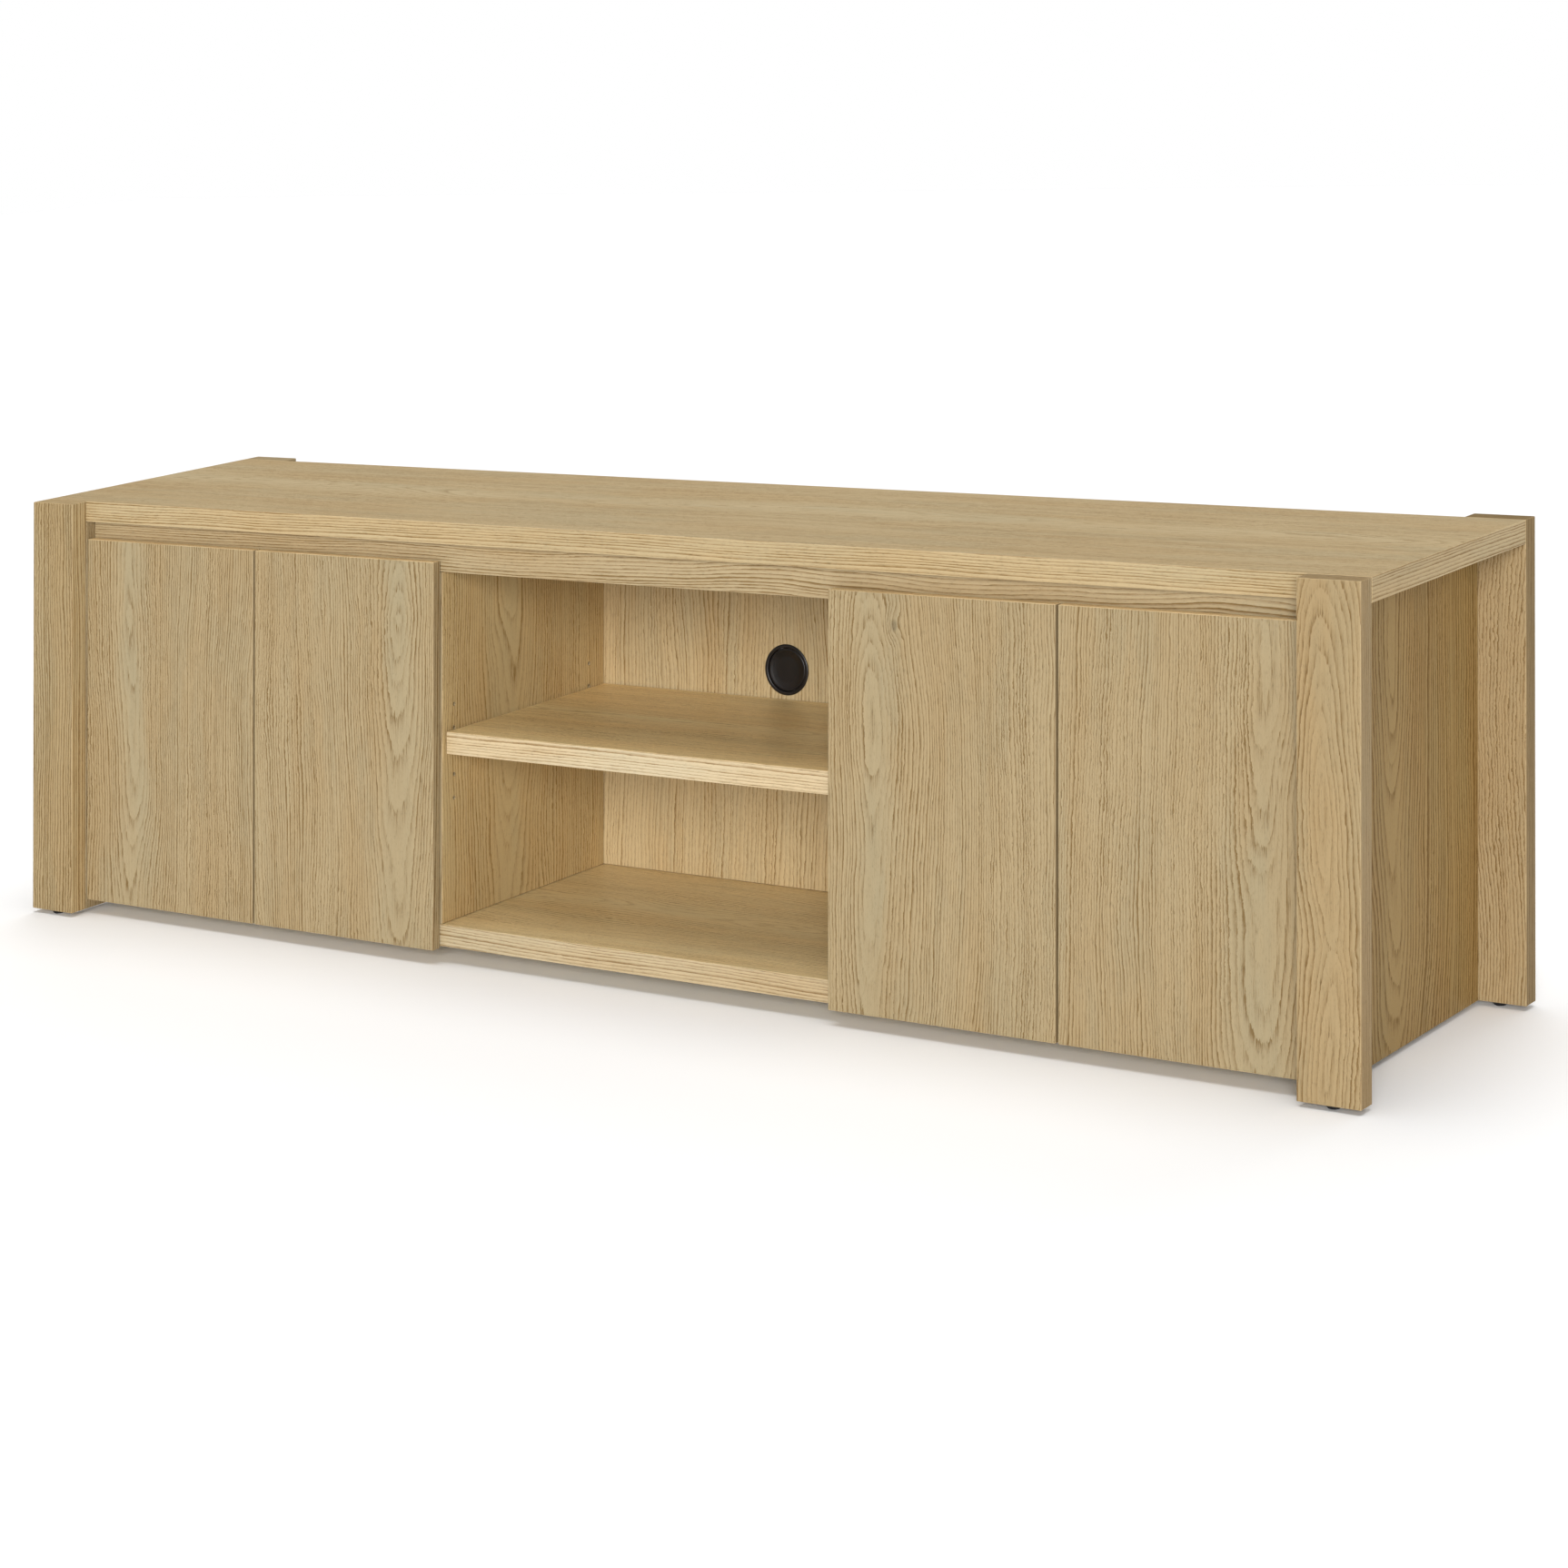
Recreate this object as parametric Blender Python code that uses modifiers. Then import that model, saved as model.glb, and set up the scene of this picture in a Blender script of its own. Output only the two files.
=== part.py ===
"""Low oak-veneered media cabinet: four slab doors, an open centre bay and four flat corner posts.

Units are metres and +Z is up. X is centred on the cabinet, Y is centred on its depth with the front
at -Y, and Z = 0 is the underside of the floor glides. Each piece is one named object.
"""

import math

import bmesh
import bpy
from mathutils import Matrix

# Overall size
WIDTH = 1.780
DEPTH = 0.430
POST_HEIGHT = 0.510
GLIDE_HEIGHT = 0.005
FIT = 0.0003  # clearance left between pieces that touch

# Boards. Depths are measured back from the posts' front faces, heights up from the posts' lower ends.
POST_WIDTH = 0.0675
POST_THICKNESS = 0.025
TOP_THICKNESS = 0.0255
SIDE_THICKNESS = 0.015
SIDE_INSET = 0.0525
CARCASS_FRONT = 0.0405
RAIL_HEIGHT = 0.0352
RAIL_THICKNESS = 0.018
BOTTOM_TOP = 0.040
BOTTOM_THICKNESS = 0.0255
BACK_FRONT = 0.3617
BACK_THICKNESS = 0.012
PARTITION_FACE = 0.2669  # centre line to the face that looks into the centre bay
PARTITION_THICKNESS = 0.018
SHELF_TOP = 0.2629
SHELF_THICKNESS = 0.0260
SHELF_FRONT = 0.0458
SIDE_SHELF_FRONT = 0.060
SHELF_END_GAP = 0.0015

# Doors
DOOR_WIDTH = 0.2745
DOOR_GAP = 0.003
DOOR_INNER_EDGE = 0.2694
DOOR_THICKNESS = 0.013
DOOR_FRONT = 0.026
DOOR_BOTTOM = 0.0122
DOOR_TOP = 0.4625

# Door hinges: a cup let into each door and an arm on the panel beside it
HINGE_FROM_END = 0.070
CUP_RADIUS = 0.0130
CUP_DEPTH = 0.0092
CUP_FROM_EDGE = 0.0215
CUP_SIDES = 24

# Shelf pin holes and supports
HOLE_RADIUS = 0.0025
HOLE_DEPTH = 0.0075
HOLE_PITCH = 0.0273
HOLE_MIDDLE = 0.2375
HOLES_EACH_WAY = 2
HOLE_ROWS = (0.0627, 0.3300)
HOLE_SIDES = 12

# Cable grommet, floor glides and door bumpers
GROMMET_HEIGHT = 0.2976
GROMMET_RADIUS = 0.0303
GROMMET_HOLE_RADIUS = 0.0280
GROMMET_SIDES = 48
GLIDE_RADIUS = 0.0080
BUMPER_RADIUS = 0.0040
BUMPER_THICKNESS = 0.0009

EDGE_ROUND = 0.0010

POST_INNER = WIDTH / 2 - POST_WIDTH
SIDE_INNER = WIDTH / 2 - SIDE_INSET - SIDE_THICKNESS
TOP_UNDERSIDE = POST_HEIGHT - TOP_THICKNESS
RAIL_BOTTOM = TOP_UNDERSIDE - RAIL_HEIGHT
PARTITION_OUTER = PARTITION_FACE + PARTITION_THICKNESS
DOOR_OUTER_EDGE = DOOR_INNER_EDGE + 2 * DOOR_WIDTH + DOOR_GAP
HINGE_HEIGHTS = {"lower": DOOR_BOTTOM + HINGE_FROM_END, "upper": DOOR_TOP - HINGE_FROM_END}

# Colour, roughness, metallic
OAK_TOP = ((0.47, 0.36, 0.22), 0.55, 0.0)
OAK_FRONT = ((0.56, 0.43, 0.27), 0.55, 0.0)
OAK_SIDE = ((0.40, 0.30, 0.17), 0.55, 0.0)
OAK_INSIDE = ((0.46, 0.35, 0.20), 0.6, 0.0)
BLACK_PLASTIC = ((0.02, 0.02, 0.02), 0.45, 0.0)
CLEAR_RUBBER = ((0.60, 0.60, 0.57), 0.5, 0.0)
NICKEL = ((0.62, 0.61, 0.58), 0.3, 1.0)


def depth(distance):
    """World Y of a place so far behind the posts' front faces."""
    return distance - DEPTH / 2


def height(distance):
    """World Z of a place so far above the posts' lower ends."""
    return distance + GLIDE_HEIGHT


def clear_scene():
    for obj in list(bpy.data.objects):
        bpy.data.objects.remove(obj, do_unlink=True)


def new_collection(name, hidden=False):
    collection = bpy.data.collections.new(name)
    bpy.context.scene.collection.children.link(collection)
    collection.hide_render = hidden
    return collection


def move_to(obj, collection):
    for old in list(obj.users_collection):
        old.objects.unlink(obj)
    collection.objects.link(obj)


def paint(obj, look):
    """Gives the object a material of its own."""
    colour, roughness, metallic = look
    material = bpy.data.materials.new(obj.name)
    material.use_nodes = True
    shader = material.node_tree.nodes["Principled BSDF"]
    shader.inputs["Base Color"].default_value = (*colour, 1.0)
    shader.inputs["Roughness"].default_value = roughness
    shader.inputs["Metallic"].default_value = metallic
    obj.data.materials.clear()
    obj.data.materials.append(material)


def box(name, low, high):
    """A box between two corners, given as (x, depth, height)."""
    middle = [(a + b) / 2 for a, b in zip(low, high)]
    bpy.ops.mesh.primitive_cube_add(size=1, location=(middle[0], depth(middle[1]), height(middle[2])))
    obj = bpy.context.object
    obj.name = name
    obj.data.transform(Matrix.Diagonal([b - a for a, b in zip(low, high)] + [1.0]))
    return obj


def cylinder(name, radius, length, sides, centre, axis):
    """A solid cylinder centred at a world point, along world axis X, Y or Z."""
    turn = {"X": (0, math.pi / 2, 0), "Y": (math.pi / 2, 0, 0), "Z": (0, 0, 0)}[axis]
    bpy.ops.mesh.primitive_cylinder_add(
        vertices=sides, radius=radius, depth=length, location=centre, rotation=turn
    )
    obj = bpy.context.object
    obj.name = name
    return obj


def round_edges(obj, width=EDGE_ROUND, segments=2):
    bevel = obj.modifiers.new("rounded_edges", "BEVEL")
    bevel.width = width
    bevel.segments = segments
    bevel.limit_method = "ANGLE"


def smooth(obj):
    obj.data.shade_smooth()
    obj.data.set_sharp_from_angle(angle=math.radians(35))


def combine(obj, other, operation, name):
    """Cuts away or joins on another mesh, which stays in the scene as a hidden helper."""
    boolean = obj.modifiers.new(name, "BOOLEAN")
    boolean.operation = operation
    boolean.object = other
    move_to(other, CUTTERS)
    other.hide_render = True
    other.display_type = "WIRE"


def bake(obj):
    """A new mesh of the object with its modifiers applied."""
    graph = bpy.context.evaluated_depsgraph_get()
    return bpy.data.meshes.new_from_object(obj.evaluated_get(graph))


def board(name, low, high, look):
    """A panel with softened edges, in the cabinet's own collection."""
    obj = box(name, low, high)
    round_edges(obj)
    paint(obj, look)
    move_to(obj, CABINET)
    return obj


def merged_cutter(name, pieces):
    """One cutter mesh from several separate solids."""
    merged = bmesh.new()
    for piece in pieces:
        bpy.context.view_layer.update()
        mesh = piece.data.copy()
        mesh.transform(piece.matrix_world)
        merged.from_mesh(mesh)
        bpy.data.meshes.remove(mesh)
        bpy.data.objects.remove(piece, do_unlink=True)
    mesh = bpy.data.meshes.new(name)
    merged.to_mesh(mesh)
    merged.free()
    cutter = bpy.data.objects.new(name, mesh)
    CUTTERS.objects.link(cutter)
    return cutter


def turned(name, profile, sides, closed):
    """A solid of revolution about local Z. The profile runs (radius, height) down its outer side."""
    mesh = bpy.data.meshes.new(name)
    points = [(radius, 0.0, z) for radius, z in profile]
    edges = [(i, i + 1) for i in range(len(points) - 1)]
    if closed:
        edges.append((len(points) - 1, 0))
    mesh.from_pydata(points, edges, [])
    obj = bpy.data.objects.new(name, mesh)
    CABINET.objects.link(obj)
    screw = obj.modifiers.new("turn", "SCREW")
    screw.steps = sides
    screw.render_steps = sides
    screw.use_merge_vertices = True
    screw.merge_threshold = 0.00001
    screw.use_smooth_shade = True
    return obj


def extruded(name, outline, thickness):
    """A mesh of a flat outline in local XY, with its thickness centred on local Z."""
    curve = bpy.data.curves.new(name, "CURVE")
    curve.dimensions = "2D"
    curve.fill_mode = "BOTH"
    curve.extrude = thickness / 2
    spline = curve.splines.new("POLY")
    spline.points.add(len(outline) - 1)
    for point, (x, y) in zip(spline.points, outline):
        point.co = (x, y, 0.0, 1.0)
    spline.use_cyclic_u = True
    flat = bpy.data.objects.new(name, curve)
    bpy.context.scene.collection.objects.link(flat)
    bpy.context.view_layer.update()
    mesh = bake(flat)
    bpy.data.objects.remove(flat, do_unlink=True)
    welded = bmesh.new()
    welded.from_mesh(mesh)
    bmesh.ops.remove_doubles(welded, verts=welded.verts, dist=0.00001)
    bmesh.ops.recalc_face_normals(welded, faces=welded.faces)
    welded.to_mesh(mesh)
    welded.free()
    obj = bpy.data.objects.new(name, mesh)
    bpy.context.scene.collection.objects.link(obj)
    return obj


def make_posts():
    """Four flat boards at the corners, their tops level with the top panel."""
    rear = DEPTH - POST_THICKNESS
    for end, near in (("front", 0.0), ("rear", rear)):
        for side, sign in (("left", -1), ("right", 1)):
            xs = sorted((sign * WIDTH / 2, sign * POST_INNER))
            low = (xs[0], near, 0.0)
            high = (xs[1], near + POST_THICKNESS, POST_HEIGHT)
            board(f"{end}_{side}_post", low, high, OAK_FRONT)


def make_glides():
    """A low tapered plastic foot under each post."""
    for end, middle in (("front", POST_THICKNESS / 2), ("rear", DEPTH - POST_THICKNESS / 2)):
        for side, sign in (("left", -1), ("right", 1)):
            tall = GLIDE_HEIGHT - FIT
            bpy.ops.mesh.primitive_cone_add(
                vertices=24,
                radius1=GLIDE_RADIUS - 0.0015,
                radius2=GLIDE_RADIUS,
                depth=tall,
                location=(sign * (WIDTH - POST_WIDTH) / 2, depth(middle), tall / 2),
            )
            glide = bpy.context.object
            glide.name = f"{end}_{side}_glide"
            smooth(glide)
            paint(glide, BLACK_PLASTIC)
            move_to(glide, CABINET)


def make_top():
    """The top spans the full width and fits between the front and rear posts."""
    low = (-WIDTH / 2, POST_THICKNESS + FIT, TOP_UNDERSIDE)
    high = (WIDTH / 2, DEPTH - POST_THICKNESS - FIT, POST_HEIGHT)
    board("top_panel", low, high, OAK_TOP)


def make_bottom():
    low = (-SIDE_INNER + FIT, CARCASS_FRONT, BOTTOM_TOP - BOTTOM_THICKNESS)
    high = (SIDE_INNER - FIT, BACK_FRONT + BACK_THICKNESS, BOTTOM_TOP)
    board("bottom_panel", low, high, OAK_INSIDE)


def make_rail():
    """The rail under the top's front edge. The doors cover its lower part."""
    low = (-SIDE_INNER + FIT, CARCASS_FRONT, RAIL_BOTTOM)
    high = (SIDE_INNER - FIT, CARCASS_FRONT + RAIL_THICKNESS, TOP_UNDERSIDE - FIT)
    board("top_rail", low, high, OAK_FRONT)


def make_back():
    low = (-SIDE_INNER + FIT, BACK_FRONT, BOTTOM_TOP + FIT)
    high = (SIDE_INNER - FIT, BACK_FRONT + BACK_THICKNESS, TOP_UNDERSIDE - FIT)
    back = board("back_panel", low, high, OAK_INSIDE)
    centre = (0.0, depth(BACK_FRONT), height(GROMMET_HEIGHT))
    hole = cylinder("grommet_hole", GROMMET_HOLE_RADIUS, 0.06, GROMMET_SIDES, centre, "Y")
    combine(back, hole, "DIFFERENCE", "grommet_hole")


def hole_heights():
    steps = range(-HOLES_EACH_WAY, HOLES_EACH_WAY + 1)
    return [HOLE_MIDDLE + step * HOLE_PITCH for step in steps]


def pin_holes(name, wall):
    """Blind shelf-pin holes into both rows of a wall whose face is at this world X."""
    pieces = []
    for row in HOLE_ROWS:
        for z in hole_heights():
            centre = (wall, depth(row), height(z))
            pieces.append(cylinder(name, HOLE_RADIUS, 2 * HOLE_DEPTH, HOLE_SIDES, centre, "X"))
    return merged_cutter(name, pieces)


def make_sides():
    """Panels between the front and rear posts, drilled for the shelf supports."""
    for side, sign in (("left", -1), ("right", 1)):
        xs = sorted((sign * SIDE_INNER, sign * (SIDE_INNER + SIDE_THICKNESS)))
        low = (xs[0], POST_THICKNESS + FIT, 0.0)
        high = (xs[1], DEPTH - POST_THICKNESS - FIT, TOP_UNDERSIDE - FIT)
        panel = board(f"{side}_side_panel", low, high, OAK_SIDE)
        combine(panel, pin_holes(f"{side}_side_holes", sign * SIDE_INNER), "DIFFERENCE", "pin_holes")


def make_partitions():
    """Uprights beside the centre bay, notched round the top rail and drilled on both faces."""
    for side, sign in (("left", -1), ("right", 1)):
        xs = sorted((sign * PARTITION_FACE, sign * PARTITION_OUTER))
        low = (xs[0], CARCASS_FRONT, BOTTOM_TOP + FIT)
        high = (xs[1], BACK_FRONT - FIT, TOP_UNDERSIDE - FIT)
        panel = board(f"{side}_partition", low, high, OAK_INSIDE)
        notch_low = (xs[0] - 0.01, CARCASS_FRONT - 0.01, RAIL_BOTTOM - FIT)
        notch_high = (xs[1] + 0.01, CARCASS_FRONT + RAIL_THICKNESS + FIT, POST_HEIGHT)
        notch = box(f"{side}_rail_notch", notch_low, notch_high)
        combine(panel, notch, "DIFFERENCE", "rail_notch")
        for face, wall in (("bay", PARTITION_FACE), ("outer", PARTITION_OUTER)):
            holes = pin_holes(f"{side}_partition_{face}_holes", sign * wall)
            combine(panel, holes, "DIFFERENCE", f"{face}_pin_holes")


def make_shelves():
    spans = {
        "left": (-SIDE_INNER, -PARTITION_OUTER, SIDE_SHELF_FRONT),
        "centre": (-PARTITION_FACE, PARTITION_FACE, SHELF_FRONT),
        "right": (PARTITION_OUTER, SIDE_INNER, SIDE_SHELF_FRONT),
    }
    for name, (left, right, front) in spans.items():
        low = (left + SHELF_END_GAP, front, SHELF_TOP - SHELF_THICKNESS)
        high = (right - SHELF_END_GAP, BACK_FRONT - 0.002, SHELF_TOP)
        board(f"{name}_shelf", low, high, OAK_INSIDE)


def support_mesh():
    """A shelf support for a wall at local X = 0 that faces +X: stub, plate and ledge.

    Its origin is the axis of the hole that the stub goes into.
    """
    ledge_top = SHELF_TOP - SHELF_THICKNESS - FIT - HOLE_MIDDLE
    plate = SHELF_END_GAP - FIT
    outline = [
        (FIT, ledge_top - 0.0022),
        (0.0095, ledge_top - 0.0022),
        (0.0095, ledge_top),
        (plate, ledge_top),
        (plate, 0.0040),
        (FIT, 0.0040),
    ]
    bracket = extruded("shelf_support_shape", outline, 0.008)
    bracket.data.transform(Matrix.Rotation(math.pi / 2, 4, "X"))
    stub = cylinder("shelf_support_stub", HOLE_RADIUS - FIT, 0.0070, HOLE_SIDES, (-0.0028, 0, 0), "X")
    combine(bracket, stub, "UNION", "stub")
    bpy.context.view_layer.update()
    mesh = bake(bracket)
    bpy.data.objects.remove(bracket, do_unlink=True)
    bpy.data.objects.remove(stub, do_unlink=True)
    return mesh


def make_supports():
    """Four supports carry each shelf, two at each end."""
    shape = support_mesh()
    walls = {
        "left_shelf": ((-SIDE_INNER, 1, "left"), (-PARTITION_OUTER, -1, "right")),
        "centre_shelf": ((-PARTITION_FACE, 1, "left"), (PARTITION_FACE, -1, "right")),
        "right_shelf": ((PARTITION_OUTER, 1, "left"), (SIDE_INNER, -1, "right")),
    }
    for shelf, ends in walls.items():
        for wall, facing, end in ends:
            for row, place in zip(("front", "rear"), HOLE_ROWS):
                support = bpy.data.objects.new(f"{shelf}_{end}_{row}_support", shape.copy())
                support.location = (wall, depth(place), height(HOLE_MIDDLE))
                support.rotation_euler.z = 0.0 if facing > 0 else math.pi
                paint(support, NICKEL)
                CABINET.objects.link(support)


def cup_profile():
    """A pressed cup with a thin flange, open towards local +Z. The flange lies on Z = 0."""
    wall = 0.0010
    radius = CUP_RADIUS - FIT
    bottom = FIT - CUP_DEPTH
    return [
        (0.0, bottom + wall),
        (radius - wall, bottom + wall),
        (radius - wall, 0.0009),
        (radius + 0.0030, 0.0009),
        (radius + 0.0030, FIT),
        (radius, FIT),
        (radius, bottom),
        (0.0, bottom),
    ]


def arm_mesh():
    """A hinge arm and its mounting plate, for a wall at local X = 0 that faces +X.

    Local Y runs back from the carcass front. The arm is symmetric about its local Z = 0 plane.
    """
    outline = [
        (0.0030, 0.0620),
        (0.0030, 0.0130),
        (0.0060, 0.0085),
        (0.0060, 0.0008),
        (0.0270, 0.0008),
        (0.0300, 0.0030),
        (0.0300, 0.0060),
        (0.0180, 0.0075),
        (0.0130, 0.0180),
        (0.0110, 0.0400),
        (0.0080, 0.0620),
    ]
    arm = extruded("hinge_arm_shape", outline, 0.0120)
    bpy.ops.mesh.primitive_cube_add(size=1, location=(0.0020, 0.0450, 0.0))
    plate = bpy.context.object
    plate.name = "hinge_plate"
    plate.data.transform(Matrix.Diagonal((0.0033, 0.0170, 0.0440, 1.0)))
    combine(arm, plate, "UNION", "plate")
    bpy.context.view_layer.update()
    mesh = bake(arm)
    bpy.data.objects.remove(arm, do_unlink=True)
    bpy.data.objects.remove(plate, do_unlink=True)
    return mesh


def make_door(name, pivot_x, wall_x, away, arm_shape):
    """One slab door with its two hinges. The pivot is the front corner at the hinge edge.

    wall_x is the face that carries the hinge arms. away is the direction along X, +1 or -1, from the
    pivot to the door's free edge.
    """
    pivot = bpy.data.objects.new(f"{name}_pivot", None)
    pivot.location = (pivot_x, depth(DOOR_FRONT), height(0.0))
    CABINET.objects.link(pivot)

    xs = sorted((pivot_x, pivot_x + away * DOOR_WIDTH))
    low = (xs[0], DOOR_FRONT, DOOR_BOTTOM)
    high = (xs[1], DOOR_FRONT + DOOR_THICKNESS, DOOR_TOP)
    door = board(name, low, high, OAK_FRONT)
    children = [door]
    recesses = []
    cup_x = pivot_x + away * CUP_FROM_EDGE
    back = depth(DOOR_FRONT + DOOR_THICKNESS)
    for level, z in HINGE_HEIGHTS.items():
        centre = (cup_x, back, height(z))
        recesses.append(cylinder("recess", CUP_RADIUS, 2 * CUP_DEPTH, CUP_SIDES, centre, "Y"))
        cup = turned(f"{name}_{level}_hinge_cup", cup_profile(), CUP_SIDES, closed=False)
        cup.rotation_euler.x = -math.pi / 2
        cup.location = centre
        paint(cup, NICKEL)
        children.append(cup)

        arm = bpy.data.objects.new(f"{name}_{level}_hinge_arm", arm_shape.copy())
        arm.location = (wall_x, depth(CARCASS_FRONT), height(z))
        arm.rotation_euler.y = 0.0 if away > 0 else math.pi
        paint(arm, NICKEL)
        CABINET.objects.link(arm)
    combine(door, merged_cutter(f"{name}_cup_recesses", recesses), "DIFFERENCE", "cup_recesses")

    bpy.context.view_layer.update()
    for child in children:
        child.parent = pivot
        child.matrix_parent_inverse = pivot.matrix_world.inverted()


def make_doors():
    arm_shape = arm_mesh()
    for side, sign in (("left", -1), ("right", 1)):
        outer = (sign * DOOR_OUTER_EDGE, sign * SIDE_INNER, -sign)
        inner = (sign * DOOR_INNER_EDGE, sign * PARTITION_OUTER, sign)
        make_door(f"{side}_outer_door", *outer, arm_shape)
        make_door(f"{side}_inner_door", *inner, arm_shape)


def make_bumpers():
    """A thin rubber dot on the rail behind each door's free corner."""
    middle = CARCASS_FRONT - FIT - BUMPER_THICKNESS / 2
    z = (RAIL_BOTTOM + DOOR_TOP) / 2
    outer_x = DOOR_OUTER_EDGE - DOOR_WIDTH + 0.014
    inner_x = DOOR_INNER_EDGE + DOOR_WIDTH - 0.014
    for side, sign in (("left", -1), ("right", 1)):
        for which, x in (("outer", outer_x), ("inner", inner_x)):
            centre = (sign * x, depth(middle), height(z))
            name = f"{side}_{which}_door_bumper"
            bumper = cylinder(name, BUMPER_RADIUS, BUMPER_THICKNESS, 16, centre, "Y")
            smooth(bumper)
            paint(bumper, CLEAR_RUBBER)
            move_to(bumper, CABINET)


def make_grommet():
    """A flanged plastic sleeve in the back panel, closed by a shallow dished cap that pulls out."""
    sleeve_outer = GROMMET_HOLE_RADIUS - FIT
    sleeve_inner = sleeve_outer - 0.0018
    length = BACK_THICKNESS + 0.002
    ring_profile = [
        (GROMMET_RADIUS - 0.0008, 0.0020),
        (GROMMET_RADIUS, 0.0012),
        (GROMMET_RADIUS, FIT),
        (sleeve_outer, FIT),
        (sleeve_outer, -length),
        (sleeve_inner, -length),
        (sleeve_inner, 0.0014),
        (sleeve_inner + 0.0008, 0.0020),
    ]
    cap_radius = sleeve_inner - FIT
    cap_profile = [
        (0.0, -0.0012),
        (cap_radius * 0.62, -0.0010),
        (cap_radius * 0.80, -0.0003),
        (cap_radius * 0.93, 0.0006),
        (cap_radius - 0.0006, 0.0004),
        (cap_radius, -0.0002),
        (cap_radius, -0.0045),
        (0.0, -0.0045),
    ]
    centre = (0.0, depth(BACK_FRONT), height(GROMMET_HEIGHT))
    for name, profile, closed in (
        ("cable_grommet", ring_profile, True),
        ("grommet_cap", cap_profile, False),
    ):
        piece = turned(name, profile, GROMMET_SIDES, closed)
        piece.rotation_euler.x = math.pi / 2
        piece.location = centre
        paint(piece, BLACK_PLASTIC)


clear_scene()
CABINET = new_collection("media_cabinet")
CUTTERS = new_collection("cutters", hidden=True)
make_posts()
make_glides()
make_top()
make_bottom()
make_rail()
make_back()
make_sides()
make_partitions()
make_shelves()
make_supports()
make_doors()
make_bumpers()
make_grommet()
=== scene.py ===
"""Looks for the oak-veneered media cabinet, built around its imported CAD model.

Units are metres in the model's own frame: +Z up, the cabinet's front at -Y, the floor at Z = 0.
"""

import functools
import math

import bmesh
import bpy
from mathutils import Matrix, Vector


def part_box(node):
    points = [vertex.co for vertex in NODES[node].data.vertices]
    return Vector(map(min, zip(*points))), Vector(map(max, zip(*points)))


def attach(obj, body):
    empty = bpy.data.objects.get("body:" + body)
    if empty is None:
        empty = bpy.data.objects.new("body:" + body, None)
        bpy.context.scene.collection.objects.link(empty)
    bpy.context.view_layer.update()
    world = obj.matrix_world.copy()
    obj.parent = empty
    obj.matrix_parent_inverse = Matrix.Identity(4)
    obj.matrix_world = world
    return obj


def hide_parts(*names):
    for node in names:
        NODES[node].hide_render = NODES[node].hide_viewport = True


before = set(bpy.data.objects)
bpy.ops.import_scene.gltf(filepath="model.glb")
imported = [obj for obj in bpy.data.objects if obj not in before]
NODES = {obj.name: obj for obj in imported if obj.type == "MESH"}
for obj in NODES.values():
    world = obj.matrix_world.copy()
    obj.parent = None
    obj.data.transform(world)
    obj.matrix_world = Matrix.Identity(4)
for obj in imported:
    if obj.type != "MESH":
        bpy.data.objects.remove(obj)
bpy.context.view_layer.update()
SCENE = bpy.context.scene
AXES = "XYZ"
X, Y, Z = Vector((1, 0, 0)), Vector((0, 1, 0)), Vector((0, 0, 1))


def srgb(red, green, blue):
    """A linear colour from 8-bit display values."""
    def linear(value):
        value /= 255
        return value / 12.92 if value <= 0.04045 else ((value + 0.055) / 1.055) ** 2.4
    return (linear(red), linear(green), linear(blue))


# Colours
PALE_OAK = srgb(199, 177, 136)
WARM_OAK = srgb(196, 171, 128)
GREY_OAK = srgb(188, 172, 136)
LINE_OAK = srgb(136, 106, 60)
# The pale colour of rounded edges: partly wear, partly a painted highlight where edges catch the light.
EDGE_OAK = srgb(212, 190, 152)
BLACK_LOW, BLACK_HIGH = srgb(14, 12, 13), srgb(21, 18, 19)
STEEL_LOW, STEEL_HIGH = srgb(188, 187, 183), srgb(212, 211, 208)
RUBBER_LOW, RUBBER_HIGH = srgb(214, 214, 208), srgb(232, 232, 228)

# Veneer: how far the growth rings are pushed off their places, in metres
SWAY = 0.050           # slow drift across the board
WAVE = 0.0110          # shorter bends
JAG = 0.0010           # raggedness of each line
EXTRA_JAG = 0.0034     # added to it in the roughest places
FIBRE_PULL = 0.0020
KNOT_PULL = 0.006
UNEVEN_RINGS = 2.0     # change of ring spacing, in rings

# Veneer: how strongly each layer shows
LINE_COVER = 0.88
PORE_SHADE = 0.68      # brightness in a pore
KNOT_SHADE = -0.35     # change of brightness in the knot
FIBRE_SHADE = 0.20
GREY_PATCHES = 0.45
# How pale the rounded edges are made: partly wear, partly a painted highlight.
EDGE_WEAR_AND_HIGHLIGHT = 0.45
GRAIN_BUMP = 0.35
GRAIN_HEIGHT = 0.0003
OAK_SPECULAR = 0.15
FAR_HEART = 0.30       # puts the heart clear of the edges and ends that show, so their lines run straight
EDGE_WANDER = 0.20     # how much those lines wander
FLAT_SIDE = 0.7        # an axis counts as the way a side faces when its normal has this much of it
NO_KNOT = (9.0, 9.0)   # far off the board

# Tones that several boards share. Tones were set against the photograph under this scene's lights.
# Each tone is partly the board's own veneer and partly painted light and shade: it lightens boards and
# sides that these lights leave too dark, and darkens those they leave too light.
FRONT_TONE = 0.64
# Painted highlight: the doors' edges that face up and down are made much lighter, standing in for light
# catching their tops.
DOOR_TOP_PAINTED_HIGHLIGHT = 1.5
INNER_EDGE_TONE = 0.60
# Painted light: the shelves' faces are made much lighter, standing in for light that these lamps don't
# bring into the bays.
SHELF_PAINTED_LIGHT_TONE = (1.50, 1.49, 1.34)
SHELF_EDGE_TONE = (1.02, 1.07, 1.20)
SATIN = 0.7            # gloss factor of the shelves and the bottom

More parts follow.
